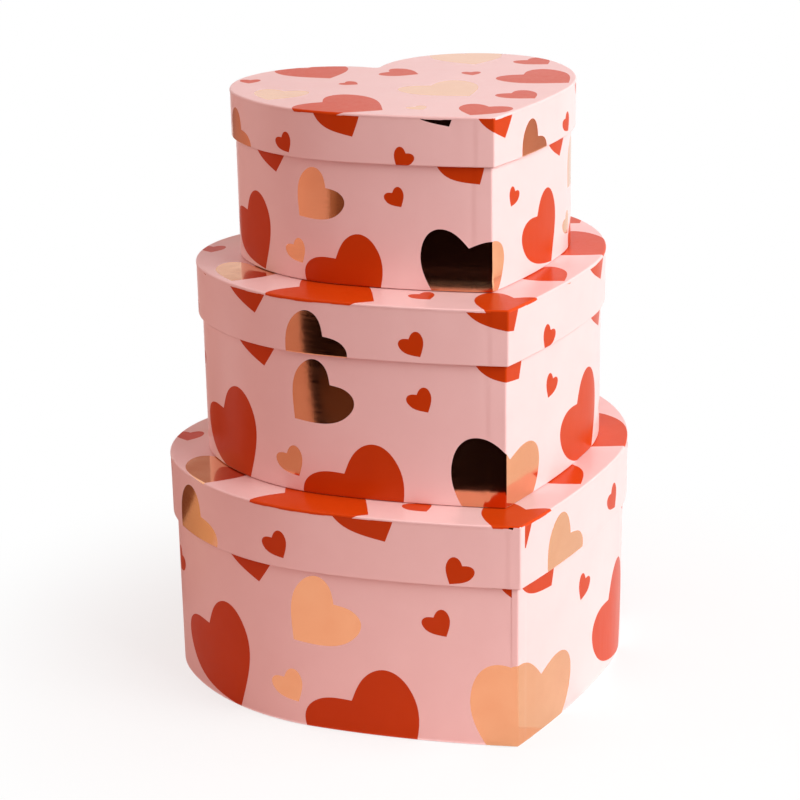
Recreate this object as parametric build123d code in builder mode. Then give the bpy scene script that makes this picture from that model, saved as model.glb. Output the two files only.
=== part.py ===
from build123d import *
import os
from dataclasses import dataclass
from math import atan2, copysign, cos, degrees, radians, sin, sqrt

# A set of three nesting heart-shaped gift boxes, stacked as a tower with the large box below.
# Each box is a rigid set-up box: a greyboard wall strip round a greyboard flat, covered with
# printed paper outside and lined with plain paper inside, and a lid that slips over the base.
# Millimetres, +Z up. The origin is on the ground under the middle of the large box, and the
# hearts point along -Y. Each piece is drawn on the planes of its own box.

# The three boxes, each measured over its closed lid
LARGE_WIDTH = 250.0  # lobe to lobe
LARGE_DEPTH = 222.8  # tip to the tops of the lobes
LARGE_NOTCH = 28.3  # from the tops of the lobes down to where their arcs cross
LARGE_HEIGHT = 120.7  # closed
LARGE_RIM = 33.4  # the lid's side, top to free edge
MEDIUM_WIDTH = 218.6
MEDIUM_DEPTH = 194.8
MEDIUM_NOTCH = 24.7
MEDIUM_HEIGHT = 102.9
MEDIUM_RIM = 28.5
SMALL_WIDTH = 181.8
SMALL_DEPTH = 162.0
SMALL_NOTCH = 20.6
SMALL_HEIGHT = 87.6
SMALL_RIM = 24.6

# The shape that all three hearts share
TIP_ANGLE = 120.7  # degrees between the two sides where they meet
CLEFT_RADIUS = 2.0  # soft fold at the bottom of the cleft

# How the upper boxes stand on the lids below, from the middle of the large box
MEDIUM_RIGHT = 3.7
MEDIUM_BACK = 7.3
MEDIUM_TURN = -0.1  # degrees
SMALL_RIGHT = 8.7
SMALL_BACK = 18.4
SMALL_TURN = 0.4

# Sheet goods
PAPER = 0.2  # printed wrap, top sheet and linings
WALL_BOARD = 1.2  # bent strips of the walls and rims
FLAT_BOARD = 1.5  # bottoms and lid tops
TAPE = 0.1  # stay over the joint of a wall strip
GLUE = 0.05  # line of paste between the layers of a wall

# Fits and folds
LID_PLAY = 0.45  # between a lid's bore and its base, all round
TURN_IN = 14.0  # wrap folded over a free edge and down the inside
TURN_FLAT = 12.0  # wrap folded on to a flat
TOP_FOLD = 1.6  # top sheet folded down over the rim
BOTTOM_MARGIN = 3.0  # bottom sheet, back from the base's edge
STAY_REACH = 12.0  # tape on each side of the tip
STAY_SETBACK = 2.0  # tape in a lid, below its top board
STRIP_GAP = 0.3  # between the two ends of a wall strip, in the tip

# Insets of the layers, counted inwards from the outside of the lid's rim
LID_BOARD = PAPER + GLUE
LID_LINING = LID_BOARD + WALL_BOARD + GLUE
LID_BORE = LID_LINING + PAPER
BASE_FACE = LID_BORE + LID_PLAY
BASE_BOARD = BASE_FACE + PAPER + GLUE
BASE_LINING = BASE_BOARD + WALL_BOARD + GLUE
BASE_BORE = BASE_LINING + PAPER
STAY_RISE = TAPE + GLUE  # how far a wrap stands out where it passes over the stay

# Heights of the base's layers, counted from its underside
BASE_BOARD_LOW = 2 * PAPER
FLOOR_LINING_LOW = BASE_BOARD_LOW + FLAT_BOARD
FLOOR = FLOOR_LINING_LOW + PAPER


@dataclass
class HeartBox:
    """One box of the set: its sizes, where it stands, and the arcs of its outline."""

    name: str
    width: float
    depth: float
    notch: float
    height: float
    rim: float
    right: float
    back: float
    turn: float
    ground: float

    def __post_init__(self):
        half = self.width / 2
        self.lobe_radius = half + self.notch - sqrt(2 * half * self.notch)
        self.lobe_centre = Vector(half - self.lobe_radius, self.depth / 2 - self.lobe_radius)
        cleft_reach = self.lobe_radius + CLEFT_RADIUS
        cleft_rise = sqrt(cleft_reach**2 - self.lobe_centre.X**2)
        self.cleft_centre = Vector(0, self.lobe_centre.Y + cleft_rise)
        self.cleft_way = (self.cleft_centre - self.lobe_centre).normalized()

        # The side runs from the widest point, heading straight to the front, to the tip in two
        # arcs that share a tangent where they join.
        widest = Vector(half, self.lobe_centre.Y)
        tip = Vector(0, -self.depth / 2)
        slant = radians(TIP_ANGLE / 2)
        forward = Vector(0, -1)
        inward = Vector(-sin(slant), -cos(slant))
        span = tip - widest
        turning = 2 * (1 - forward.dot(inward))
        along = span.dot(forward + inward)
        leg = (sqrt(along**2 + turning * span.dot(span)) - along) / turning
        self.join = (widest + tip + (forward - inward) * leg) * 0.5
        chord = self.join - widest
        shoulder_radius = chord.dot(chord) / (-2 * chord.X)
        self.shoulder_centre = widest - Vector(shoulder_radius, 0)
        chord = self.join - tip
        across = Vector(-cos(slant), sin(slant))
        self.side_radius = chord.dot(chord) / (2 * chord.dot(across))
        self.side_centre = tip + across * self.side_radius

        # Heights of the closed box, counted from its underside
        self.top_board_high = self.height - 2 * PAPER
        self.top_board_low = self.top_board_high - FLAT_BOARD
        self.base_top = self.top_board_low - PAPER
        self.rim_low = self.height - self.rim

    def plane(self, height):
        """A level plane of this box, at a height above its underside."""
        turn = radians(self.turn)
        origin = (self.right, self.back, self.ground + height)
        return Plane(origin, x_dir=(cos(turn), sin(turn), 0), z_dir=(0, 0, 1))

    def corners(self, inset):
        """The points where the arcs of the right half meet, from the tip to the cleft."""
        side = self.side_radius - inset  # negative for a side that bows inwards
        drop = copysign(sqrt(side**2 - self.side_centre.X**2), side)
        tip = Vector(0, self.side_centre.Y - drop)
        join = self.side_centre + (self.join - self.side_centre) * (side / self.side_radius)
        widest = Vector(self.width / 2 - inset, self.lobe_centre.Y)
        bend = self.lobe_centre + self.cleft_way * (self.lobe_radius - inset)
        cleft = self.cleft_centre - Vector(0, CLEFT_RADIUS + inset)
        return tip, join, widest, bend, cleft


def arc(centre, start, end):
    """The shorter arc about a centre from one point to another."""
    first = start - centre
    last = end - centre
    first_angle = degrees(atan2(first.Y, first.X))
    swing = degrees(atan2(last.Y, last.X)) - first_angle
    CenterArc(centre, first.length, first_angle, (swing + 180) % 360 - 180)


def heart(box, inset, mode=Mode.ADD):
    """The outline of a box's lid, set inwards, as a face of the sketch in hand."""
    tip, join, widest, bend, cleft = box.corners(inset)
    with BuildLine() as outline:
        arc(box.side_centre, tip, join)
        arc(box.shoulder_centre, join, widest)
        arc(box.lobe_centre, widest, bend)
        arc(box.cleft_centre, bend, cleft)
        mirror(about=Plane.YZ)
    make_face(outline.edges(), mode=mode)


def front_strip(box, reach, mode):
    """The strip of a sketch that takes in the tip of the heart and leaves out the cleft."""
    Rectangle(2 * reach, box.depth, align=(Align.CENTER, Align.MAX), mode=mode)


def sheet(box, inset, low, high):
    """A heart-shaped flat between two heights."""
    with BuildSketch(box.plane(low)) as outline:
        heart(box, inset)
    extrude(outline.sketch, amount=high - low)


def band(box, outer, inner, low, high):
    """A wall that follows the heart between two insets."""
    with BuildSketch(box.plane(low)) as ring:
        heart(box, outer)
        heart(box, inner, Mode.SUBTRACT)
    extrude(ring.sketch, amount=high - low)


def tip_band(box, outer, inner, low, high, reach, mode=Mode.ADD):
    """The part of a band that lies within a reach of the tip."""
    with BuildSketch(box.plane(low)) as ring:
        heart(box, outer)
        heart(box, inner, Mode.SUBTRACT)
        front_strip(box, reach, Mode.INTERSECT)
    extrude(ring.sketch, amount=high - low, mode=mode)


def stay(box, back, low, high):
    """Tape round the tip, between two heights, with its back at an inset."""
    tip_band(box, back - TAPE, back, low, high, STAY_REACH)


def stay_cover(box, back, low, high):
    """Carry a wrap out over a stay whose back is at an inset, with a pocket for the tape."""
    face = back - PAPER - STAY_RISE
    pocket = STAY_REACH + GLUE
    tip_band(box, face, back, low - PAPER, high + PAPER, pocket + PAPER)
    tip_band(box, back - STAY_RISE, back, low, high, pocket, Mode.SUBTRACT)


def strip_gap(box, low, high):
    """Part the two ends of a wall strip in the tip."""
    with BuildSketch(box.plane(low)) as gap:
        front_strip(box, STRIP_GAP / 2, Mode.ADD)
    extrude(gap.sketch, amount=high - low, mode=Mode.SUBTRACT)


def base_wall_board(box):
    """Greyboard strip bent round the floor board, with its ends in the tip."""
    with BuildPart() as wall_board:
        low, high = BASE_BOARD_LOW, box.base_top - PAPER
        band(box, BASE_BOARD, BASE_BOARD + WALL_BOARD, low, high)
        strip_gap(box, low, high)
    return wall_board.part


def base_floor_board(box):
    """Greyboard heart inside the lower edge of the wall strip."""
    with BuildPart() as floor_board:
        sheet(box, BASE_LINING, BASE_BOARD_LOW, FLOOR_LINING_LOW)
    return floor_board.part


def base_tip_stay(box):
    """Tape over the joint of the wall strip, under the wrap."""
    with BuildPart() as tip_stay:
        stay(box, BASE_FACE + PAPER, BASE_BOARD_LOW, box.base_top - PAPER)
    return tip_stay.part


def base_wrap(box):
    """Printed paper round the wall, folded in at the top and under at the bottom."""
    with BuildPart() as wrap:
        band(box, BASE_FACE, BASE_FACE + PAPER, PAPER, box.base_top)
        band(box, BASE_FACE, BASE_BORE, box.base_top - PAPER, box.base_top)
        band(box, BASE_LINING, BASE_BORE, box.base_top - TURN_IN, box.base_top)
        band(box, BASE_FACE, BASE_FACE + TURN_FLAT, PAPER, BASE_BOARD_LOW)
        stay_cover(box, BASE_FACE + PAPER, BASE_BOARD_LOW, box.base_top - PAPER)
    return wrap.part


def base_bottom_sheet(box):
    """Plain paper heart under the base, which the box stands on."""
    with BuildPart() as bottom_sheet:
        sheet(box, BASE_FACE + BOTTOM_MARGIN, 0, PAPER)
    return bottom_sheet.part


def base_wall_lining(box):
    """Plain paper inside the wall, from the floor to the wrap's folded edge."""
    with BuildPart() as wall_lining:
        band(box, BASE_LINING, BASE_BORE, FLOOR, box.base_top - TURN_IN)
    return wall_lining.part


def base_floor_lining(box):
    """Plain paper heart on the floor board."""
    with BuildPart() as floor_lining:
        sheet(box, BASE_LINING, FLOOR_LINING_LOW, FLOOR)
    return floor_lining.part


def lid_rim_board(box):
    """Greyboard strip under the edge of the lid's top board, with its ends in the tip."""
    with BuildPart() as rim_board:
        low, high = box.rim_low + PAPER, box.top_board_low
        band(box, LID_BOARD, LID_BOARD + WALL_BOARD, low, high)
        strip_gap(box, low, high)
    return rim_board.part


def lid_top_board(box):
    """Greyboard heart on top of the rim strip."""
    with BuildPart() as top_board:
        sheet(box, LID_BOARD, box.top_board_low, box.top_board_high)
    return top_board.part


def lid_tip_stay(box):
    """Tape over the joint of the rim strip, under the wrap."""
    with BuildPart() as tip_stay:
        stay(box, PAPER, box.rim_low + PAPER, box.top_board_low - STAY_SETBACK)
    return tip_stay.part


def lid_rim_wrap(box):
    """Printed paper round the rim, folded in at the free edge and over on to the top board."""
    with BuildPart() as wrap:
        band(box, 0, PAPER, box.rim_low, box.height - PAPER)
        band(box, 0, TURN_FLAT, box.top_board_high, box.height - PAPER)
        band(box, 0, LID_BORE, box.rim_low, box.rim_low + PAPER)
        band(box, LID_LINING, LID_BORE, box.rim_low, box.rim_low + TURN_IN)
        stay_cover(box, PAPER, box.rim_low + PAPER, box.top_board_low - STAY_SETBACK)
    return wrap.part


def lid_top_sheet(box):
    """Printed paper heart on the lid, with its edge folded down over the rim."""
    with BuildPart() as top_sheet:
        sheet(box, -PAPER, box.height - PAPER, box.height)
        band(box, -PAPER, 0, box.height - TOP_FOLD, box.height)
    return top_sheet.part


def lid_rim_lining(box):
    """Plain paper inside the rim, from the wrap's folded edge to the lid's ceiling."""
    with BuildPart() as rim_lining:
        band(box, LID_LINING, LID_BORE, box.rim_low + TURN_IN, box.base_top)
    return rim_lining.part


def lid_top_lining(box):
    """Plain paper heart under the top board, which rests on the base's edge."""
    with BuildPart() as top_lining:
        sheet(box, LID_LINING, box.base_top, box.top_board_low)
    return top_lining.part


PIECES = (
    base_wall_board,
    base_floor_board,
    base_tip_stay,
    base_wrap,
    base_bottom_sheet,
    base_wall_lining,
    base_floor_lining,
    lid_rim_board,
    lid_top_board,
    lid_tip_stay,
    lid_rim_wrap,
    lid_top_sheet,
    lid_rim_lining,
    lid_top_lining,
)

BOXES = (
    HeartBox(
        name="large",
        width=LARGE_WIDTH,
        depth=LARGE_DEPTH,
        notch=LARGE_NOTCH,
        height=LARGE_HEIGHT,
        rim=LARGE_RIM,
        right=0.0,
        back=0.0,
        turn=0.0,
        ground=0.0,
    ),
    HeartBox(
        name="medium",
        width=MEDIUM_WIDTH,
        depth=MEDIUM_DEPTH,
        notch=MEDIUM_NOTCH,
        height=MEDIUM_HEIGHT,
        rim=MEDIUM_RIM,
        right=MEDIUM_RIGHT,
        back=MEDIUM_BACK,
        turn=MEDIUM_TURN,
        ground=LARGE_HEIGHT,
    ),
    HeartBox(
        name="small",
        width=SMALL_WIDTH,
        depth=SMALL_DEPTH,
        notch=SMALL_NOTCH,
        height=SMALL_HEIGHT,
        rim=SMALL_RIM,
        right=SMALL_RIGHT,
        back=SMALL_BACK,
        turn=SMALL_TURN,
        ground=LARGE_HEIGHT + MEDIUM_HEIGHT,
    ),
)

os.makedirs("parts", exist_ok=True)
for box in BOXES:
    for make in PIECES:
        piece = make(box)
        piece.label = f"{box.name}_{make.__name__}"
        export_step(piece, f"parts/{piece.label}.step")
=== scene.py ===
import math

import bpy
import numpy as np
from mathutils import Matrix, Vector, geometry


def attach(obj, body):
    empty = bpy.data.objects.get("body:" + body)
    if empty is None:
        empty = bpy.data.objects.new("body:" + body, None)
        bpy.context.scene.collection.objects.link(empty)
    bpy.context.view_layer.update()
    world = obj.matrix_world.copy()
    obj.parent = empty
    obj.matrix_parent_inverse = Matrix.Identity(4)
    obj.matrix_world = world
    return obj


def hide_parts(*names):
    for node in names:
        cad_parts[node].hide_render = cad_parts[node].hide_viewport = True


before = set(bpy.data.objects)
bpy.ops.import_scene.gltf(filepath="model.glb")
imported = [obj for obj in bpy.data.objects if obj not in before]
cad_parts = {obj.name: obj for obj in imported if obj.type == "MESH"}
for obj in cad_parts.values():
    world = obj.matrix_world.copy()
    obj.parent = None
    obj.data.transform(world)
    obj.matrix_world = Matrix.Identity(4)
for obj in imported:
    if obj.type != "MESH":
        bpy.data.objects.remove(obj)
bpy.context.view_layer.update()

# Looks for a tower of three heart-shaped gift boxes covered with printed paper.
# Lengths are written in millimetres and turned to metres where things are made, but the
# materials' own numbers are in metres.

MM = 0.001

# Each box: width, depth and notch of its lid, heights, place in the tower and turn in degrees
BOXES = {
    "large": dict(width=250.0, depth=222.8, notch=28.3, height=120.7, rim=33.4,
                  right=0.0, back=0.0, turn=0.0, ground=0.0),
    "medium": dict(width=218.6, depth=194.8, notch=24.7, height=102.9, rim=28.5,
                   right=3.7, back=7.3, turn=-0.1, ground=120.7),
    "small": dict(width=181.8, depth=162.0, notch=20.6, height=87.6, rim=24.6,
                  right=8.7, back=18.4, turn=0.4, ground=223.6),
}
TIP_ANGLE = math.radians(120.7)
CLEFT_RADIUS = 2.0
TIP_ROUND = 1.1  # soft edge of the paper where it goes round the tip
LEAST_ROUND = 0.25

# Layers, as insets from the outside of the rim, and the folds of the papers
PAPER = 0.2
SKIN = 0.17  # printed papers as drawn here
FLAT_BOARD = 1.5
LID_BORE = 1.7
BASE_FACE = 2.15
BASE_BORE = 3.85
TURN_IN = 14.0  # wrap folded in over a free edge
TURN_FLAT = 12.0  # and flat under a floor or over the top board
EDGE_ROUND = 0.75  # wrap going over the upper edge of a wall or rim
RIM_ROUND = 0.7  # round the free edge of a rim
BOTTOM_ROUND = 0.8  # and under a floor
TOP_ROUND = 0.9  # top sheet going over the edge of a lid
TOP_SKIRT = 0.7  # straight part of the top sheet's fold, at its longest
STAY_REACH = 14.0  # tape under a wrap, each way from the tip
STAY_RISE = 0.08
STAY_RAMP = 7.0
LAP = 8.0  # overlap of a wrap's two ends at the tip
LAP_RAMP = 3.0
LAP_GAP = 0.01  # between these ends

# The print: ink or foil, place, width and lean to the right in degrees, on the large box.
# A wall's hearts count along the wall from the tip and up from the ground.
REPEAT = 270.0  # length after which the print begins again
WALL_PRINT = (
    ("ink", -167.2, 24.0, 58.0, -32),
    ("ink", -141.0, 94.0, 39.0, -15),
    ("foil", -102.8, 61.5, 39.5, 45),
    ("foil", -119.5, 20.5, 18.5, -33),
    ("ink", -74.4, 1.3, 62.5, -33),
    ("ink", -39.5, 65.0, 14.8, -33),
    ("foil", 6.2, 11.2, 66.0, 12.4),
    ("ink", 10.5, 91.4, 36.0, -35),
    ("ink", 56.8, 62.0, 14.5, 31),
)
# A rim's hearts count along the rim from the tip and up from the rim's free edge. The rims
# were printed apart, so their hearts keep the sizes but not quite the spacing.
RIM_PRINT = {
    "large": (
        ("ink", -232.0, 37.8, 39.0, -25),
        ("foil", -189.0, 4.2, 39.5, 45),
        ("ink", -125.3, 11.6, 14.8, -33),
        ("ink", -75.8, 36.9, 37.0, -29),
        ("ink", -31.0, 7.3, 14.8, 33),
        ("foil", -13.2, 48.3, 39.5, -30),
    ),
    "medium": (
        ("ink", -136.7, 32.7, 34.3, -16),
        ("foil", -100.5, 2.1, 34.8, 45),
        ("ink", -46.2, 8.6, 13.0, -33),
        ("ink", -3.3, 31.6, 34.3, -29),
        ("ink", 37.4, 4.6, 13.0, 33),
        ("foil", 53.0, 40.9, 34.8, -30),
    ),
    "small": (
        ("ink", -181.2, 25.6, 27.3, -16),
        ("foil", -151.2, 1.2, 27.6, 45),
        ("ink", -108.2, 6.4, 10.4, -33),
        ("ink", -75.8, 24.0, 25.8, -29),
        ("ink", -44.8, 3.3, 10.4, 33),
        ("foil", -28.2, 31.4, 27.6, -30),
    ),
}
# A top sheet's hearts count right and back from the middle of the lid.
TOP_PRINT = (
    ("ink", -105.0, 80.0, 15.5, 25),
    ("ink", -48.0, 90.0, 56.0, 0),
    ("ink", 7.5, 58.0, 30.0, -40),
    ("ink", -42.0, 38.0, 14.5, -30),
    ("ink", 53.0, 31.0, 14.5, 20),
    ("ink", 116.0, 50.0, 29.0, -15),
    ("ink", 91.5, -8.5, 57.0, -19),
    ("ink", 49.5, -59.0, 31.0, -15),
    ("foil", 11.0, -16.0, 60.0, -10),
    ("foil", 77.0, 88.0, 56.0, 15),
)
# The hearts of a top sheet that lie a little differently on each lid
TOP_OWN = {
    "large": (
        ("foil", -107.5, 24.0, 40.0, 42),
        ("ink", -76.0, -38.6, 65.0, -31),
        ("ink", 3.5, -101.0, 40.0, 48),
        ("ink", -33.0, -67.0, 15.0, -5),
    ),
    "medium": (
        ("foil", -104.0, 24.0, 40.0, 42),
        ("ink", -75.2, -36.4, 65.0, -31),
        ("ink", 3.5, -100.0, 40.0, 48),
        ("ink", -30.5, -66.5, 15.0, -5),
    ),
    "small": (
        ("foil", -104.0, 24.0, 40.0, 42),
        ("ink", -74.0, -33.4, 65.0, -31),
        ("ink", 3.0, -92.0, 38.0, 50),
        ("foil", -33.0, -65.0, 15.0, -5),
    ),
}
# How each box's papers were cut from the print: scale, shift along and up, and the further
# shift of the sheet's right-hand end where its two ends don't match
WALL_CUT = {
    "large": (1.0, 0.0, 0.0, 10.8),
    "medium": (0.88, -6.8, -3.2, 0.0),
    "small": (0.693, -19.9, 0.9, 0.0),
}
# Rims: length after which the print begins again, and that further shift
RIM_REPEAT = {"large": 270.0, "medium": 238.0, "small": 187.0}
RIM_SHIFT = {"large": -41.5, "medium": 0.0, "small": 0.0}
# Top sheets: scale, shift right and back
TOP_CUT = {"large": (1.0, -1.0, 0.0), "medium": (0.88, 0.0, 0.5), "small": (0.70, 0.0, 1.6)}
# How far the foil of a wall lies off its ink, along and up
FOIL_SLIP = {"large": (0.0, 0.0), "medium": (0.8, 0.0), "small": (1.2, -0.8)}
# Where the end of a wrap shows near the tip, and whether its right-hand end lies on top
WALL_SEAM = {"large": (-3.0, True), "medium": (1.0, False), "small": (0.8, False)}
RIM_SEAM = {"large": (3.4, False), "medium": (0.9, False), "small": (0.8, False)}
# How steeply the foot of a wall stands out round the tip, over what height and how far each way
FOOT_LEAN = {"large": 0.0, "medium": 0.0, "small": 0.107}
FOOT_HIGH = 11.0
FOOT_FULL = 5.0  # the lean is whole below this height
FOOT_REACH = 52.0
FOOT_FADE = 18.0  # past the reach

# Spacing of mesh points along a wrap, near its ends, across it and round the edge of a top sheet
STEP = 3.0
FINE_STEP = 0.4
FINE_REACH = 20.0
ROWS = 8.0
TOP_STEP = 1.4
TOP_MARGIN = 2.0  # from that edge to the first points inside
GRID_HALF = 140  # reach of the points inside, each way from a lid's middle
BEND_COUNT = 7  # columns round the tip or the cleft
BEND_SPACE = 0.1  # least distance from these to the next column
END_SPACE = 0.01  # and to an end of the wrap
FOLD_COUNT = 6  # points round a fold
FOOT_ROWS = 8  # rows over the foot of a wall
SMALL_HEART = 15.0  # a printed heart below this width has fewer points on each of its curves
SMALL_COUNT = 6
LARGE_COUNT = 14
END_MARGIN = 2.0  # hearts of a wrap end at least this far from the cleft's middle
SLOPE_STEP = 0.2  # for slopes along a wrap
CLOSE = 1e-5  # points nearer than this are one

# Material slots of a printed sheet
PAPER_SLOT, INK_SLOT, FOIL_SLOT, BACK_SLOT = range(4)


class Heart:
    """The outline of a box's lid: arcs from tip to cleft, set inwards by any inset."""

    def __init__(self, width, depth, notch, face, **_):
        half = width / 2
        lobe = half + notch - math.sqrt(2 * half * notch)
        lobe_centre = np.array([half - lobe, depth / 2 - lobe])
        cleft_rise = math.sqrt((lobe + CLEFT_RADIUS) ** 2 - lobe_centre[0] ** 2)
        cleft_centre = np.array([0.0, lobe_centre[1] + cleft_rise])
        widest = np.array([half, lobe_centre[1]])
        tip = np.array([0.0, -depth / 2])
        slant = TIP_ANGLE / 2
        forward = np.array([0.0, -1.0])
        inward = np.array([-math.sin(slant), -math.cos(slant)])
        span = tip - widest
        turning = 2 * (1 - forward @ inward)
        along = span @ (forward + inward)
        leg = (math.sqrt(along ** 2 + turning * (span @ span)) - along) / turning
        join = (widest + tip + (forward - inward) * leg) / 2
        chord = join - widest
        shoulder = chord @ chord / (-2 * chord[0])
        chord = join - tip
        across = np.array([-math.cos(slant), math.sin(slant)])
        side = chord @ chord / (2 * (chord @ across))
        self.face = face
        self.side_centre = tip + across * side
        self.side = side
        self.centres = [None, self.side_centre, widest - [shoulder, 0], lobe_centre, cleft_centre]
        self.radii = [None, side, shoulder, lobe, -CLEFT_RADIUS]
        bend = self.angle(lobe_centre, cleft_centre)
        join_angle = self.angle(self.side_centre, join)
        self.ends = [(-math.pi / 2, None), (None, join_angle), (join_angle, 0.0), (0.0, bend),
                     (bend - math.pi, -math.pi / 2)]
        lengths = []
        for number in range(5):
            first, last = self.sweep(number, face)
            radius = self.corner(face) if number == 0 else abs(self.radii[number] - face)
            lengths.append(float(radius * abs(last - first)))
        self.marks = np.concatenate([[0.0], np.cumsum(lengths)])
        self.half = self.marks[-1]

    @staticmethod
    def angle(centre, point):
        """Direction of a point from a centre."""
        return math.atan2(point[1] - centre[1], point[0] - centre[0])

    def corner(self, inset):
        """Radius of the soft corner at the tip."""
        return np.maximum(TIP_ROUND - (inset - self.face), LEAST_ROUND)

    def corner_centre(self, inset):
        """Place along Y of the middle of that corner."""
        reach = self.side - inset - self.corner(inset)
        return self.side_centre[1] - np.sqrt(reach ** 2 - self.side_centre[0] ** 2)

    def sweep(self, number, inset):
        """First and last angle of an arc."""
        first, last = self.ends[number]
        if number < 2:
            meet = np.arctan2(self.corner_centre(inset) - self.side_centre[1], -self.side_centre[0])
            return (first, meet) if number == 0 else (meet, last)
        return first, last

    def place(self, along, inset):
        """Points at a length along the outline from the tip, with their outward normals."""
        along, inset = np.broadcast_arrays(np.asarray(along, float), np.asarray(inset, float))
        hand = np.where(along < 0, -1.0, 1.0)
        run = np.minimum(np.abs(along), self.half)
        which = np.clip(np.searchsorted(self.marks, run, side="right") - 1, 0, 4)
        x, y, nx, ny = (np.zeros(along.shape) for _ in range(4))
        for number in range(5):
            here = which == number
            if not here.any():
                continue
            share = (run[here] - self.marks[number]) / (self.marks[number + 1] - self.marks[number])
            first, last = self.sweep(number, inset[here])
            turn = first + share * (last - first)
            if number == 0:
                radius, centre = self.corner(inset[here]), (0.0, self.corner_centre(inset[here]))
            else:
                radius, centre = self.radii[number] - inset[here], self.centres[number]
            facing = np.where(radius < 0, -1.0, 1.0)
            x[here] = centre[0] + np.abs(radius) * np.cos(turn)
            y[here] = centre[1] + np.abs(radius) * np.sin(turn)
            nx[here], ny[here] = facing * np.cos(turn), facing * np.sin(turn)
        return hand * x, y, hand * nx, ny

    def locate(self, x, y):
        """Inset of points near the outline, with the outward normal there."""
        hand = np.where(x < 0, -1.0, 1.0)
        x = np.abs(x)
        best = np.full(x.shape, 1e9)
        nx, ny = np.zeros(x.shape), np.ones(x.shape)
        for number in range(5):
            if number == 0:
                centre, radius = (0.0, self.corner_centre(self.face)), self.corner(self.face) + self.face
            else:
                centre, radius = self.centres[number], self.radii[number]
            first, last = self.sweep(number, self.face)
            middle, reach = (first + last) / 2, abs(last - first) / 2
            turn = np.arctan2(y - centre[1], x - centre[0])
            within = np.abs((turn - middle + math.pi) % (2 * math.pi) - math.pi) <= reach + 1e-6
            away = np.hypot(x - centre[0], y - centre[1])
            facing = -1.0 if radius < 0 else 1.0
            inset = radius - facing * away
            closer = within & (np.abs(inset) < np.abs(best))
            best = np.where(closer, inset, best)
            nx = np.where(closer, facing * np.cos(turn), nx)
            ny = np.where(closer, facing * np.sin(turn), ny)
        return best, hand * nx, ny


def bezier(points, count):
    """Points along a cubic curve, without the last one."""
    t = np.arange(count)[:, None] / count
    a, b, c, d = (np.array(p) for p in points)
    return (1 - t) ** 3 * a + 3 * (1 - t) ** 2 * t * b + 3 * (1 - t) * t ** 2 * c + t ** 3 * d


def motif(count):
    """A printed heart one unit wide about its own middle, going round to the left."""
    right = np.vstack([
        bezier(((0, 0), (0.27, 0.225), (0.5, 0.40), (0.5, 0.69)), count),
        bezier(((0.5, 0.69), (0.5, 0.85), (0.42, 0.945), (0.29, 0.945)), count),
        bezier(((0.29, 0.945), (0.175, 0.945), (0.085, 0.872), (0, 0.808)), count),
    ])
    left = right[1:][::-1] * [-1, 1]
    return np.vstack([right, [[0, 0.808]], left]) - [0, 0.485]


def hearts(layout, scale, along, up):
    """Outlines of a layout's hearts on a sheet."""
    result = []
    for kind, x, y, width, lean in layout:
        size = width * scale
        shape = motif(SMALL_COUNT if size < SMALL_HEART else LARGE_COUNT) * size
        lean = math.radians(lean)
        turned = np.stack([shape[:, 0] * math.cos(lean) + shape[:, 1] * math.sin(lean),
                           shape[:, 1] * math.cos(lean) - shape[:, 0] * math.sin(lean)], 1)
        result.append((kind, turned + [x * scale + along, y * scale + up]))
    return result


def strip_hearts(layout, cut, repeat, half, seam, slip):
    """Hearts of a wrap: its left-hand end, then its right-hand end, along the sheet."""
    scale, along, up, further = cut
    kept = []
    for copy in (-2, -1, 0, 1, 2):
        shift = copy * repeat
        for kind, shape in hearts(layout, scale, along + shift, up):
            shape = shape + slip if kind == "foil" else shape
            if -half + END_MARGIN < shape[:, 0].min() < seam + LAP:
                kept.append((kind, shape + [2 * half, 0]))
        for kind, shape in hearts(layout, scale, along + shift + further, up):
            shape = shape + slip if kind == "foil" else shape
            if seam - LAP < shape[:, 0].max() < half - END_MARGIN:
                kept.append((kind, shape))
    return kept


def triangulate(points, edges, regions):
    """Triangles that keep to given edges and regions, and the regions that hold each one."""
    faces = []
    points = list(points)
    for region in regions:
        start = len(points)
        points += [tuple(p) for p in region]
        faces.append(list(range(start, len(points))))
    verts, _, tris, _, _, owners = geometry.delaunay_2d_cdt(
        [Vector((float(p[0]), float(p[1]))) for p in points], edges, faces, 0, CLOSE, True)
    inside = [number for number, owner in enumerate(owners) if 0 in owner]
    return (np.array([(v.x, v.y) for v in verts]), [tuple(tris[n]) for n in inside],
            [set(owners[n]) - {0} for n in inside])


def ink_slots(owners, print_hearts):
    """Material slot of each triangle, from the printed hearts that hold it."""
    slots = []
    for owner in owners:
        kinds = [print_hearts[n - 1][0] for n in owner]
        slots.append(FOIL_SLOT if "foil" in kinds else INK_SLOT if "ink" in kinds else PAPER_SLOT)
    return slots


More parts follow.
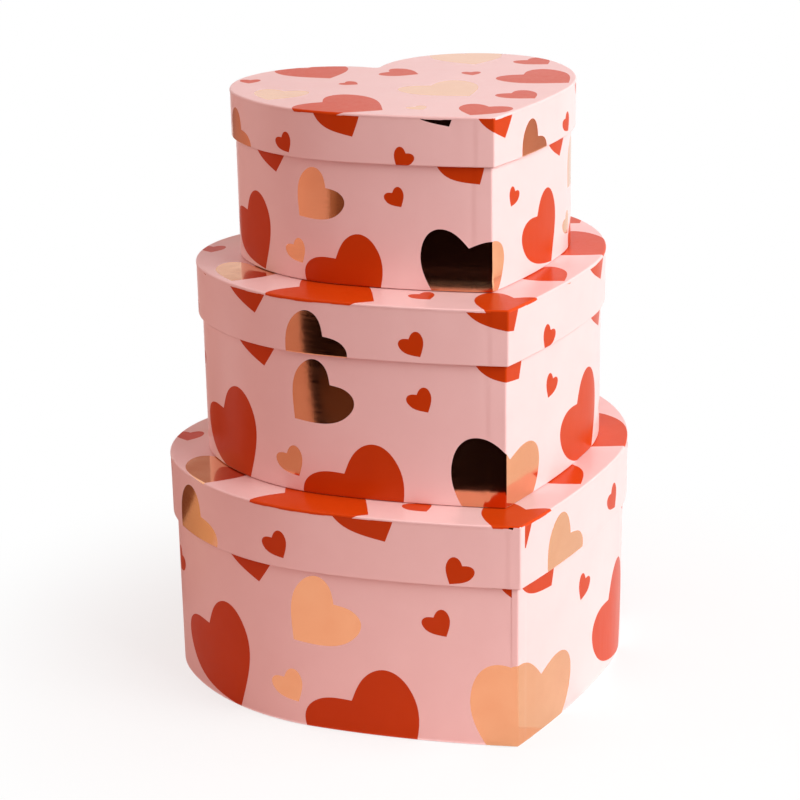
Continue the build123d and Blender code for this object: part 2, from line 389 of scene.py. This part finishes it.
def sheet_mesh(name, flat, tris, slots, lay, materials):
    """A closed sheet of paper: its printed face, its back and its cut edges.

    lay(points, depth) gives the places and normals of flat points at a depth below the face.
    """
    used = sorted({v for tri in tris for v in tri})
    index = {v: n for n, v in enumerate(used)}
    flat = flat[used]
    tris = [tuple(index[v] for v in tri) for tri in tris]
    front, normals = lay(flat, 0.0)
    back, _ = lay(flat, SKIN)
    count = len(front)
    sides = {}
    for a, b, c in tris:
        for edge in ((a, b), (b, c), (c, a)):
            sides[edge] = True
    rim = [(a, b) for a, b in sides if (b, a) not in sides]
    faces = list(tris)
    faces += [(a + count, c + count, b + count) for a, b, c in tris]
    faces += [(b, a, a + count, b + count) for a, b in rim]
    mesh = bpy.data.meshes.new(name)
    mesh.from_pydata((np.vstack([front, back]) * MM).tolist(), [], faces)
    for material in materials:
        mesh.materials.append(material)
    mesh.polygons.foreach_set("material_index", slots + [BACK_SLOT] * (len(tris) + len(rim)))
    mesh.polygons.foreach_set("use_smooth", [True] * len(faces))
    loops = [normals[v] for tri in tris for v in tri]
    loops += [-normals[v] for a, b, c in tris for v in (a, c, b)]
    loops += [(0.0, 0.0, 0.0)] * (4 * len(rim))
    mesh.normals_split_custom_set([tuple(n) for n in loops])
    mesh.validate()
    piece = bpy.data.objects.new(name, mesh)
    bpy.context.scene.collection.objects.link(piece)
    return piece


def stand(box, points, normals):
    """Carry points from a box's own frame to the tower's."""
    turn = math.radians(box["turn"])
    spin = np.array([[math.cos(turn), -math.sin(turn)], [math.sin(turn), math.cos(turn)]])
    points, normals = points.copy(), normals.copy()
    points[:, :2] = points[:, :2] @ spin.T + [box["right"], box["back"]]
    points[:, 2] += box["ground"]
    normals[:, :2] = normals[:, :2] @ spin.T
    return points, normals


def fold_path(corners, rounds, wall):
    """Section of a folded wrap: lengths, insets, heights and normals, with rounded corners.

    Lengths are counted so that they equal heights on the wall, whose number is given.
    """
    corners = [np.array(c, float) for c in corners]
    path, facing = [corners[0]], []
    starts = []
    for number in range(1, len(corners)):
        way = corners[number] - corners[number - 1]
        way = way / np.linalg.norm(way)
        out = np.array([-way[1], way[0]])
        starts.append(len(path) - 1)
        facing.append(out)
        if number == len(corners) - 1:
            path.append(corners[number])
            facing.append(out)
            break
        after = corners[number + 1] - corners[number]
        after = after / np.linalg.norm(after)
        radius = rounds[number - 1]
        bend = np.array([-after[1], after[0]])
        inner = corners[number] - way * radius - out * radius
        for share in np.linspace(0, 1, FOLD_COUNT):
            turn = share * math.pi / 2
            ray = out * math.cos(turn) + bend * math.sin(turn)
            path.append(inner + ray * radius)
            facing.append(ray)
        facing.pop()
    path, facing = np.array(path), np.array(facing)
    lengths = np.concatenate([[0.0], np.cumsum(np.linalg.norm(np.diff(path, axis=0), axis=1))])
    first = starts[wall]
    lengths += path[first, 1] - lengths[first]
    return lengths, path, facing


def ease(value):
    """Smooth step from nought to one."""
    value = np.clip(value, 0.0, 1.0)
    return value * value * (3 - 2 * value)


def wrap(name, box, outline, path, layout, cut, repeat, seam, slip, lean, materials):
    """A printed strip folded round a wall, its two ends lapped at the tip."""
    lengths, section, facing = path
    edge, right_over = seam
    half = outline.half
    if right_over:
        first, last = edge, 2 * half + edge + LAP
    else:
        first, last = edge - LAP, 2 * half + edge
    low, high = lengths[0], lengths[-1]
    columns = np.concatenate([
        np.arange(first, first + FINE_REACH, FINE_STEP),
        np.arange(first + FINE_REACH, last - FINE_REACH, STEP),
        np.arange(last - FINE_REACH, last, FINE_STEP),
        [last],
    ])
    # Columns round the tip and the cleft, which no triangle may cross
    shares = np.linspace(-1, 1, BEND_COUNT)
    bends = np.concatenate([shares * outline.marks[1], shares * outline.marks[1] + 2 * half,
                            shares * (half - outline.marks[4]) + half])
    bends = bends[(bends > first + END_SPACE) & (bends < last - END_SPACE)]
    columns = np.array([c for c in columns if np.abs(bends - c).min() > BEND_SPACE or c in (first, last)])
    columns = np.sort(np.concatenate([columns, bends]))
    rows = list(lengths)
    for a, b in zip(lengths[:-1], lengths[1:]):
        if b - a > ROWS:
            rows += list(np.linspace(a, b, int((b - a) / ROWS) + 2)[1:-1])
    if lean:
        rows += list(np.linspace(FOOT_HIGH / FOOT_ROWS, FOOT_HIGH, FOOT_ROWS))
    rows = np.array(sorted(rows))
    grid = [(q, t) for t in rows for q in columns]
    wide = len(columns)
    edges = []
    for r, t in enumerate(rows):
        if t in lengths:
            edges += [(r * wide + c, r * wide + c + 1) for c in range(wide - 1)]
    for c in np.flatnonzero(np.isin(columns, bends)):
        edges += [(r * wide + int(c), (r + 1) * wide + int(c)) for r in range(len(rows) - 1)]
    frame_line = [(first, low), (last, low), (last, high), (first, high)]
    print_hearts = strip_hearts(layout, cut, repeat, half, edge, slip)
    flat, tris, owners = triangulate(grid, edges, [frame_line] + [shape for _, shape in print_hearts])
    slots = ink_slots(owners, print_hearts)

    def lay(points, depth):
        q, t = points[:, 0], points[:, 1]
        inset = np.interp(t, lengths, section[:, 0])
        height = np.interp(t, lengths, section[:, 1])
        out, up = np.interp(t, lengths, -facing[:, 0]), np.interp(t, lengths, facing[:, 1])
        size = np.hypot(out, up)
        out, up = out / size, up / size
        along = np.where(q > half, q - 2 * half, q)
        rise = stand_out(q, along)
        slope = (stand_out(q, along + SLOPE_STEP) - stand_out(q, along - SLOPE_STEP)) / (2 * SLOPE_STEP)
        foot, tilt = foot_out(t, along)
        # The rise shows only where the paper faces outwards.
        x, y, nx, ny = outline.place(along, inset + out * (depth - foot) - out * rise * (out > 0.5))
        points = np.stack([x, y, height - up * depth], 1)
        normals = np.stack([(nx + ny * slope) * out, (ny - nx * slope) * out, up + out * tilt], 1)
        return stand(box, points, normals / np.linalg.norm(normals, axis=1)[:, None])

    def stand_out(q, along):
        """How far the paper stands out over the stay, and its upper end over its lower one."""
        rise = STAY_RISE * ease((STAY_REACH + STAY_RAMP - np.abs(along)) / STAY_RAMP)
        if right_over:
            top = (q < half) & (along < edge + LAP + LAP_RAMP)
            lap = ease((edge + LAP + LAP_RAMP - along) / LAP_RAMP)
        else:
            top = (q > half) & (along > edge - LAP - LAP_RAMP)
            lap = ease((along - edge + LAP + LAP_RAMP) / LAP_RAMP)
        return rise + np.where(top, lap, 0.0) * (SKIN + LAP_GAP)

    def foot_out(t, along):
        """How far the foot of the wall stands out, and how steeply."""
        near = lean * ease((FOOT_REACH + FOOT_FADE - np.abs(along)) / FOOT_FADE)
        bend = np.clip(FOOT_HIGH - t, 0.0, FOOT_HIGH - FOOT_FULL)
        tilt = bend / (FOOT_HIGH - FOOT_FULL)
        return near * (bend * tilt / 2 + np.clip(FOOT_FULL - t, 0.0, FOOT_FULL)), near * tilt

    return sheet_mesh(name, flat, tris, slots, lay, materials)


def uneven(along):
    """Share of the top sheet's fold that its cut leaves: it wanders slowly and has small steps."""
    wander = np.sin(along * 0.11 + 1.0) * np.sin(along * 0.047)
    steps = np.sign(np.sin(along * 0.31 + 2.0 * np.sin(along * 0.05)))
    return 0.62 + 0.25 * wander + 0.13 * steps


def top_sheet(name, box, outline, layout, cut, materials):
    """A printed heart on a lid, its edge folded down over the rim."""
    scale, right, back = cut
    face = outline.face
    quarter = TOP_ROUND * math.pi / 2
    start = face + TOP_ROUND
    count = int(2 * outline.half / TOP_STEP)
    along = np.linspace(-outline.half, outline.half, count, endpoint=False)
    skirt = TOP_SKIRT * uneven(along)
    loops, edges, points = [], [], []
    for fall in (0.0, quarter / 4, quarter / 2, 3 * quarter / 4, quarter, None):
        inset = start - (quarter + skirt if fall is None else fall)
        x, y, _, _ = outline.place(along, inset)
        loops.append(np.stack([x, y], 1))
    for loop in loops[:-1]:
        base = len(points)
        points += [tuple(p) for p in loop]
        edges += [(base + n, base + (n + 1) % count) for n in range(count)]
    reach = np.arange(-GRID_HALF, GRID_HALF + 1, ROWS)
    grid = np.array([(x, y) for x in reach for y in reach])
    inset, _, _ = outline.locate(grid[:, 0], grid[:, 1])
    within = inside_line(grid, loops[0])
    points += [tuple(p) for p, keep, deep in zip(grid, within, inset) if keep and deep > start + TOP_MARGIN]
    print_hearts = hearts(layout, scale, right, back)
    flat, tris, owners = triangulate(points, edges, [loops[-1]] + [shape for _, shape in print_hearts])
    slots = ink_slots(owners, print_hearts)

    def lay(points, depth):
        x, y = points[:, 0], points[:, 1]
        inset, nx, ny = outline.locate(x, y)
        past = np.clip(start - inset, 0.0, None)
        turn = np.minimum(past / TOP_ROUND, math.pi / 2)
        out, up = np.sin(turn), np.cos(turn)
        new = start - TOP_ROUND * out
        drop = TOP_ROUND * (1 - up) + np.clip(past - quarter, 0.0, None)
        move = np.where(past > 0, inset - new - out * depth, 0.0)
        places = np.stack([x + nx * move, y + ny * move, box["height"] - drop - up * depth], 1)
        normals = np.stack([nx * out, ny * out, up], 1)
        return stand(box, places, normals)

    return sheet_mesh(name, flat, tris, slots, lay, materials)


def inside_line(points, loop):
    """Which points lie inside a closed line."""
    x, y = points[:, 0], points[:, 1]
    inside = np.zeros(len(points), bool)
    ends = np.roll(loop, -1, axis=0)
    for (ax, ay), (bx, by) in zip(loop, ends):
        crosses = (ay > y) != (by > y)
        if crosses.any():
            at = ax + (y - ay) / (by - ay) * (bx - ax)
            inside ^= crosses & (x < at)
    return inside


# Materials

def new_material(name):
    """A new material with its nodes, its links and its main shader."""
    material = bpy.data.materials.new(name)
    material.use_nodes = True
    nodes, links = material.node_tree.nodes, material.node_tree.links
    return material, nodes, links, nodes["Principled BSDF"]


def noise_node(nodes, links, vector, scale, detail=4.0, rough=0.55):
    """Noise over given coordinates, in metres."""
    node = nodes.new("ShaderNodeTexNoise")
    node.inputs["Scale"].default_value = scale
    node.inputs["Detail"].default_value = detail
    node.inputs["Roughness"].default_value = rough
    links.new(vector, node.inputs["Vector"])
    return node.outputs["Fac"]


def stretched(nodes, links, scale):
    """Object coordinates stretched by a scale on each axis."""
    coords = nodes.new("ShaderNodeTexCoord")
    mapping = nodes.new("ShaderNodeMapping")
    mapping.inputs["Scale"].default_value = scale
    links.new(coords.outputs["Object"], mapping.inputs["Vector"])
    return mapping.outputs["Vector"]


def ramp(nodes, links, value, stops):
    """Colours for a value, each at its own place."""
    node = nodes.new("ShaderNodeValToRGB")
    elements = node.color_ramp.elements
    while len(elements) < len(stops):
        elements.new(0.5)
    for element, (place, colour) in zip(elements, stops):
        element.position = place
        element.color = colour if len(colour) == 4 else (*colour, 1.0)
    links.new(value, node.inputs["Fac"])
    return node.outputs["Color"]


def remap(nodes, links, value, low, high):
    """The usual spread of a noise, carried to another spread."""
    node = nodes.new("ShaderNodeMapRange")
    node.inputs["From Min"].default_value = 0.3
    node.inputs["From Max"].default_value = 0.7
    node.inputs["To Min"].default_value = low
    node.inputs["To Max"].default_value = high
    links.new(value, node.inputs["Value"])
    return node.outputs["Result"]


def bump(nodes, links, shader, heights):
    """Chain bumps: (height, strength, distance in metres)."""
    last = None
    for value, strength, distance in heights:
        node = nodes.new("ShaderNodeBump")
        node.inputs["Strength"].default_value = strength
        node.inputs["Distance"].default_value = distance
        links.new(value, node.inputs["Height"])
        if last:
            links.new(last, node.inputs["Normal"])
        last = node.outputs["Normal"]
    links.new(last, shader.inputs["Normal"])


def paper(name, light, dark, rough, sheen=0.5, wavy=0.5):
    """Coated paper: soft mottling, fine fibres, faint lines from the press and a slow waviness."""
    material, nodes, links, shader = new_material(name)
    plain = stretched(nodes, links, (1, 1, 1))
    upright = stretched(nodes, links, (1, 1, 0.12))
    mottle = noise_node(nodes, links, plain, 45.0, 3.0)
    fibres = noise_node(nodes, links, plain, 1400.0, 5.0, 0.7)
    lines = noise_node(nodes, links, upright, 420.0, 3.0)
    waves = noise_node(nodes, links, stretched(nodes, links, (1, 1, 0.5)), 42.0, 2.0)
    links.new(ramp(nodes, links, mottle, ((0.3, dark), (0.7, light))), shader.inputs["Base Color"])
    links.new(remap(nodes, links, lines, rough - 0.02, rough + 0.03), shader.inputs["Roughness"])
    shader.inputs["IOR"].default_value = 1.5
    shader.inputs["Specular IOR Level"].default_value = sheen
    bump(nodes, links, shader, ((waves, wavy, 0.0008), (fibres, 0.10, 0.00006)))
    return material


def foil(name):
    """Rose-gold stamping foil with the linen of the paper below showing through."""
    material, nodes, links, shader = new_material(name)
    plain = stretched(nodes, links, (1, 1, 1))
    across = stretched(nodes, links, (0.10, 0.10, 1))
    upright = stretched(nodes, links, (1, 1, 0.10))
    tone = noise_node(nodes, links, plain, 60.0, 4.0)
    waves = noise_node(nodes, links, plain, 120.0, 2.0)
    warp = noise_node(nodes, links, across, 900.0, 3.0)
    weft = noise_node(nodes, links, upright, 900.0, 3.0)
    links.new(ramp(nodes, links, tone, ((0.3, (0.86, 0.41, 0.22)), (0.7, (0.89, 0.45, 0.25)))),
              shader.inputs["Base Color"])
    shader.inputs["Metallic"].default_value = 1.0
    links.new(remap(nodes, links, warp, 0.09, 0.14), shader.inputs["Roughness"])
    bump(nodes, links, shader, ((waves, 0.15, 0.0002), (warp, 0.09, 0.00006), (weft, 0.09, 0.00006)))
    return material


def board(name):
    """Greyboard: pressed waste paper with dark and light flecks."""
    material, nodes, links, shader = new_material(name)
    plain = stretched(nodes, links, (1, 1, 1))
    flecks = noise_node(nodes, links, plain, 700.0, 6.0, 0.7)
    mottle = noise_node(nodes, links, plain, 120.0, 4.0)
    tone = ramp(nodes, links, flecks, ((0.32, (0.20, 0.18, 0.16)), (0.42, (0.40, 0.37, 0.33)),
                                       (0.62, (0.46, 0.43, 0.39)), (0.7, (0.60, 0.57, 0.52))))
    links.new(tone, shader.inputs["Base Color"])
    links.new(remap(nodes, links, mottle, 0.82, 0.95), shader.inputs["Roughness"])
    bump(nodes, links, shader, ((flecks, 0.3, 0.0002),))
    return material


def kraft(name):
    """Gummed kraft tape, ribbed along its length."""
    material, nodes, links, shader = new_material(name)
    ribs = noise_node(nodes, links, stretched(nodes, links, (1, 1, 0.06)), 600.0, 4.0)
    mottle = noise_node(nodes, links, stretched(nodes, links, (1, 1, 1)), 150.0, 4.0)
    tone = ramp(nodes, links, ribs, ((0.35, (0.38, 0.24, 0.13)), (0.65, (0.52, 0.36, 0.22))))
    links.new(tone, shader.inputs["Base Color"])
    links.new(remap(nodes, links, mottle, 0.45, 0.6), shader.inputs["Roughness"])
    bump(nodes, links, shader, ((ribs, 0.2, 0.0001),))
    return material


PINK = paper("pink_paper", (0.93, 0.595, 0.58), (0.91, 0.57, 0.555), 0.32, 0.42)
RED = paper("red_ink", (0.57, 0.047, 0.004), (0.55, 0.043, 0.003), 0.30, 0.13, 0.3)
# The top sheets get a lighter copy of the red ink: painted light, standing in for the brighter light on the
# tops.
TOP_RED_PAINTED_LIGHT = paper("top_red_ink_painted_light", (0.67, 0.058, 0.004), (0.65, 0.053, 0.003), 0.30, 0.14, 0.3)
FOIL = foil("rose_gold_foil")
BACKING = paper("paper_back", (0.90, 0.87, 0.84), (0.86, 0.83, 0.80), 0.75)
SIDE_INKS = (PINK, RED, FOIL, BACKING)
TOP_INKS = (PINK, TOP_RED_PAINTED_LIGHT, FOIL, BACKING)
LINING = paper("lining_paper", (0.88, 0.85, 0.80), (0.83, 0.80, 0.75), 0.70)
GREYBOARD = board("greyboard_fibre")
KRAFT = kraft("kraft_ribbed")

# Printed papers

for name, box in BOXES.items():
    height, rim_low = box["height"], box["height"] - box["rim"]
    # The base ends under the lid's board and three layers of its paper.
    base_top = height - 3 * PAPER - FLAT_BOARD
    rim = Heart(face=0.0, **box)
    base = Heart(face=BASE_FACE, **box)
    top = Heart(face=-PAPER, **box)

    path = fold_path(((BASE_FACE + TURN_FLAT, PAPER), (BASE_FACE, PAPER), (BASE_FACE, base_top),
                      (BASE_BORE, base_top), (BASE_BORE, base_top - TURN_IN)),
                     (BOTTOM_ROUND, EDGE_ROUND, EDGE_ROUND), 1)
    cut = WALL_CUT[name]
    piece = wrap(f"{name}_wall_paper", box, base, path, WALL_PRINT, cut, REPEAT * cut[0], WALL_SEAM[name],
                 FOIL_SLIP[name], FOOT_LEAN[name], SIDE_INKS)
    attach(piece, f"{name}_base")
    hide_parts(f"{name}_base_wrap")

    path = fold_path(((LID_BORE, rim_low + TURN_IN), (LID_BORE, rim_low), (0.0, rim_low),
                      (0.0, height - PAPER), (TURN_FLAT, height - PAPER)),
                     (RIM_ROUND, RIM_ROUND, EDGE_ROUND), 2)
    cut = (1.0, 0.0, rim_low, RIM_SHIFT[name])
    piece = wrap(f"{name}_rim_paper", box, rim, path, RIM_PRINT[name], cut, RIM_REPEAT[name], RIM_SEAM[name],
                 (0.0, 0.0), 0.0, SIDE_INKS)
    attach(piece, f"{name}_lid")
    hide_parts(f"{name}_lid_rim_wrap")

    piece = top_sheet(f"{name}_top_paper", box, top, TOP_PRINT + TOP_OWN[name], TOP_CUT[name], TOP_INKS)
    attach(piece, f"{name}_lid")
    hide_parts(f"{name}_lid_top_sheet")

# CAD nodes that show as they are
for node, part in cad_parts.items():
    if node.endswith(("lining", "bottom_sheet")):
        finish = LINING
    elif node.endswith("stay"):
        finish = KRAFT
    elif node.endswith("board"):
        finish = GREYBOARD
    else:
        continue
    part.data.materials.clear()
    part.data.materials.append(finish)

# Camera, where the photograph's was

# Place, then turns in degrees
CAMERA_PLACE = (-435.18, -1004.6, 533.34)
CAMERA_YAW = -22.675
CAMERA_DOWN = 19.265
CAMERA_ROLL = -0.951

camera = bpy.data.cameras.new("camera")
camera.lens = 99.87
camera.sensor_width = 36.0
camera.clip_end = 50.0
view = bpy.data.objects.new("camera", camera)
bpy.context.scene.collection.objects.link(view)
turned = (Matrix.Rotation(math.radians(CAMERA_YAW), 4, "Z")
          @ Matrix.Rotation(math.radians(90 - CAMERA_DOWN), 4, "X")
          @ Matrix.Rotation(math.radians(CAMERA_ROLL), 4, "Z"))
view.matrix_world = Matrix.Translation(Vector(CAMERA_PLACE) * MM) @ turned
bpy.context.scene.camera = view

# White table, and cards on it whose tones are painted shade and light, seen only in reflections and bounced
# light

def flat_piece(name, corners, material):
    """A flat face that belongs to the stage."""
    mesh = bpy.data.meshes.new(name)
    points = [tuple(v * MM for v in corner) for corner in corners]
    mesh.from_pydata(points, [], [tuple(range(len(points)))])
    mesh.materials.append(material)
    item = bpy.data.objects.new(name, mesh)
    bpy.context.scene.collection.objects.link(item)
    return item


def seen_rays(nodes, links):
    """One for camera, glossy and transmission rays, else nought."""
    rays = nodes.new("ShaderNodeLightPath")
    last = rays.outputs["Is Camera Ray"]
    for kind in ("Is Glossy Ray", "Is Transmission Ray"):
        either = nodes.new("ShaderNodeMath")
        either.operation = "MAXIMUM"
        links.new(last, either.inputs[0])
        links.new(rays.outputs[kind], either.inputs[1])
        last = either.outputs[0]
    return last


SHADOW_NEAR = 100.0
SHADOW_FAR = 320.0
NEAR_WHITE = 0.70  # share of plain white within the nearer distance


def table_material():
    """White away from the tower, with a soft shadow kept near it."""
    material, nodes, links, shader = new_material("table")
    cloud = noise_node(nodes, links, stretched(nodes, links, (1, 1, 1)), 3.0)
    tone = ramp(nodes, links, cloud, ((0.3, (0.93, 0.93, 0.93)), (0.7, (0.95, 0.95, 0.95))))
    links.new(tone, shader.inputs["Base Color"])
    shader.inputs["Roughness"].default_value = 0.9
    shader.inputs["Specular IOR Level"].default_value = 0.1
    coords = nodes.new("ShaderNodeTexCoord")
    away = nodes.new("ShaderNodeVectorMath")
    away.operation = "LENGTH"
    links.new(coords.outputs["Object"], away.inputs[0])
    fade = nodes.new("ShaderNodeMapRange")
    fade.interpolation_type = "SMOOTHSTEP"
    fade.inputs["From Min"].default_value = SHADOW_NEAR * MM
    fade.inputs["From Max"].default_value = SHADOW_FAR * MM
    fade.inputs["To Min"].default_value = NEAR_WHITE
    fade.inputs["To Max"].default_value = 1.0
    links.new(away.outputs["Value"], fade.inputs["Value"])
    share = nodes.new("ShaderNodeMath")
    share.operation = "MULTIPLY"
    links.new(fade.outputs["Result"], share.inputs[0])
    links.new(seen_rays(nodes, links), share.inputs[1])
    glow = nodes.new("ShaderNodeEmission")
    glow.inputs["Color"].default_value = (1, 1, 1, 1)
    glow.inputs["Strength"].default_value = 1.0
    blend = nodes.new("ShaderNodeMixShader")
    links.new(share.outputs[0], blend.inputs["Fac"])
    links.new(shader.outputs[0], blend.inputs[1])
    links.new(glow.outputs[0], blend.inputs[2])
    links.new(blend.outputs[0], nodes["Material Output"].inputs["Surface"])
    return material


def card_material(name, low, high):
    """Matt card, a little cloudy between two tones, clear when seen from below."""
    material, nodes, links, shader = new_material(name)
    cloud = noise_node(nodes, links, stretched(nodes, links, (1, 1, 1)), 5.0)
    links.new(ramp(nodes, links, cloud, ((0.3, low), (0.7, high))), shader.inputs["Base Color"])
    shader.inputs["Roughness"].default_value = 1.0
    shader.inputs["Specular IOR Level"].default_value = 0.0
    # From below it is clear so that it takes no light from the table.
    side = nodes.new("ShaderNodeNewGeometry")
    clear = nodes.new("ShaderNodeBsdfTransparent")
    blend = nodes.new("ShaderNodeMixShader")
    links.new(side.outputs["Backfacing"], blend.inputs["Fac"])
    links.new(shader.outputs[0], blend.inputs[1])
    links.new(clear.outputs[0], blend.inputs[2])
    links.new(blend.outputs[0], nodes["Material Output"].inputs["Surface"])
    return material


TABLE_HALF = 3000
flat_piece("table", ((-TABLE_HALF, -TABLE_HALF, 0), (TABLE_HALF, -TABLE_HALF, 0),
                     (TABLE_HALF, TABLE_HALF, 0), (-TABLE_HALF, TABLE_HALF, 0)), table_material())

DARK = card_material("dark_card", (0.005, 0.003, 0.003), (0.009, 0.005, 0.005))
BROWN = card_material("brown_card", (0.26, 0.14, 0.085), (0.33, 0.18, 0.115))
DIM = card_material("dim_card", (0.575, 0.36, 0.31), (0.66, 0.44, 0.385))
BLUSH = card_material("blush_card", (0.855, 0.64, 0.59), (0.90, 0.69, 0.645))
PALE = card_material("pale_card", (0.88, 0.82, 0.79), (0.93, 0.89, 0.86))
TAN = card_material("tan_card", (0.84, 0.73, 0.49), (0.88, 0.78, 0.54))
SIENNA = card_material("sienna_card", (0.43, 0.25, 0.16), (0.48, 0.29, 0.19))
UMBER = card_material("umber_card", (0.09, 0.04, 0.02), (0.12, 0.055, 0.03))
WHITE = card_material("white_card", (0.94, 0.94, 0.94), (0.96, 0.96, 0.96))
CLAY = card_material("clay_card", (0.58, 0.40, 0.36), (0.62, 0.43, 0.39))
# Heights of the cards above the table, the upper ones lying over the lower
LOW, MIDDLE, HIGH = 1.0, 1.5, 2.0
CARDS = (
    ("card_front", LOW, DARK,
     ((600, -2500), (600, -290), (330, -290), (330, -235), (-300, -235), (-460, -165), (-760, -165),
      (-1010, -330), (-2200, -900), (-2200, -2500))),
    ("card_patch", HIGH, UMBER, ((-400, -330), (-400, -215), (-560, -215), (-560, -330))),
    ("card_back", LOW, BROWN, ((-190, 240), (-190, 520), (-420, 520), (-330, 240))),
    ("card_behind", LOW, DIM,
     ((-60, 130), (-60, 2600), (-1500, 2600), (-1000, 520), (-830, 400), (-420, 520), (-190, 520),
      (-190, 130))),
    ("card_rim", LOW, TAN, ((-190, 130), (-190, 240), (-340, 240), (-340, 130))),
    ("card_near", LOW, PALE, ((20, -235), (20, -100), (-20, 130), (-340, 130), (-340, -217.5), (-300, -235))),
    ("card_side", LOW, DIM,
     ((-340, -217.5), (-340, 240), (-830, 400), (-830, -210), (-760, -165), (-460, -165))),
    ("card_left", LOW, BLUSH,
     ((-830, -210), (-830, 400), (-1000, 520), (-2200, 1500), (-2200, -900), (-1010, -330))),
    ("card_right", LOW, PALE, ((340, -290), (1150, -500), (1150, 400), (340, 160))),
    ("card_far", LOW, DIM, ((1150, -500), (2400, -900), (2400, 1200), (1150, 400))),
    ("card_bright", LOW, WHITE, ((620, -1500), (1700, -1500), (1700, -650), (1150, -510), (620, -500))),
    ("card_fade_1", HIGH, SIENNA, ((-882, -277), (-1498, -481), (-1455, -601), (-857, -346))),
    ("card_fade_2", HIGH, BROWN, ((-857, -346), (-1455, -601), (-1398, -717), (-825, -411))),
    ("card_fade_3", HIGH, UMBER, ((-825, -411), (-1398, -717), (-1342, -814), (-793, -467))),
    ("card_bounce", MIDDLE, CLAY,
     ((60, -290), (60, -100), (-20, 400), (-2200, 1500), (-2200, -900), (-1010, -330), (-300, -290))),
)
for name, high, material, corners in CARDS:
    card = flat_piece(name, [(x, y, high) for x, y in corners], material)
    card.visible_camera = False
    card.visible_shadow = False
    card.visible_diffuse = material in (DARK, CLAY)
    card.visible_glossy = material is not CLAY
# A dark room before the table and a dim patch high behind it, seen in reflections only
for name, corners, material in (
    ("screen_left", ((-2300, -2600, 0), (-2300, 600, 0), (-2300, 600, 2600), (-2300, -2600, 2600)), DARK),
    ("screen_front", ((900, -2600, 0), (-2300, -2600, 0), (-2300, -2600, 2600), (900, -2600, 2600)), DARK),
    ("screen_back", ((480, 2500, 985), (960, 2500, 985), (960, 2500, 1500), (480, 2500, 1500)), DIM),
):
    screen = flat_piece(name, corners, material)
    screen.visible_camera = False
    screen.visible_shadow = False
    screen.visible_diffuse = False

# Light

# Two large soft lamps on the right leave the left in half shade. A small one stands before the
# tower, a glow comes from behind on the left, and the room is warm but shows white in mirrors.
LAMP_TARGET = (0, 0, 150)

world = bpy.data.worlds.new("room")
bpy.context.scene.world = world
world.use_nodes = True
nodes, links = world.node_tree.nodes, world.node_tree.links
nodes.clear()
white = nodes.new("ShaderNodeBackground")
white.inputs["Color"].default_value = (1, 1, 1, 1)
white.inputs["Strength"].default_value = 1.0
room = nodes.new("ShaderNodeBackground")
room.inputs["Color"].default_value = (1.0, 0.45, 0.38, 1)
room.inputs["Strength"].default_value = 0.29
mix = nodes.new("ShaderNodeMixShader")
links.new(seen_rays(nodes, links), mix.inputs["Fac"])
links.new(room.outputs[0], mix.inputs[1])
links.new(white.outputs[0], mix.inputs[2])
out = nodes.new("ShaderNodeOutputWorld")
links.new(mix.outputs[0], out.inputs["Surface"])


def lamp(name, place, size, energy, colour):
    """A square lamp that faces the tower and isn't seen in reflections."""
    data = bpy.data.lights.new(name, "AREA")
    data.shape = "RECTANGLE"
    data.size = size * MM
    data.size_y = size * MM
    data.energy = energy
    data.color = colour
    item = bpy.data.objects.new(name, data)
    bpy.context.scene.collection.objects.link(item)
    place = Vector(place) * MM
    facing = (Vector(LAMP_TARGET) * MM - place).to_track_quat("-Z", "Y")
    item.matrix_world = Matrix.Translation(place) @ facing.to_matrix().to_4x4()
    item.visible_glossy = False


lamp("key", (1000, -1550, 1250), 1400, 44.0, (0.90, 1.0, 1.01))
lamp("side", (1500, -1000, 1600), 1400, 19.5, (0.90, 1.0, 1.01))
lamp("fill", (-220, -760, 150), 400, 1.2, (1.0, 0.90, 0.90))
lamp("glow", (-1400, 900, 900), 1600, 13.0, (0.95, 0.85, 0.78))

bpy.context.scene.view_settings.view_transform = "Standard"
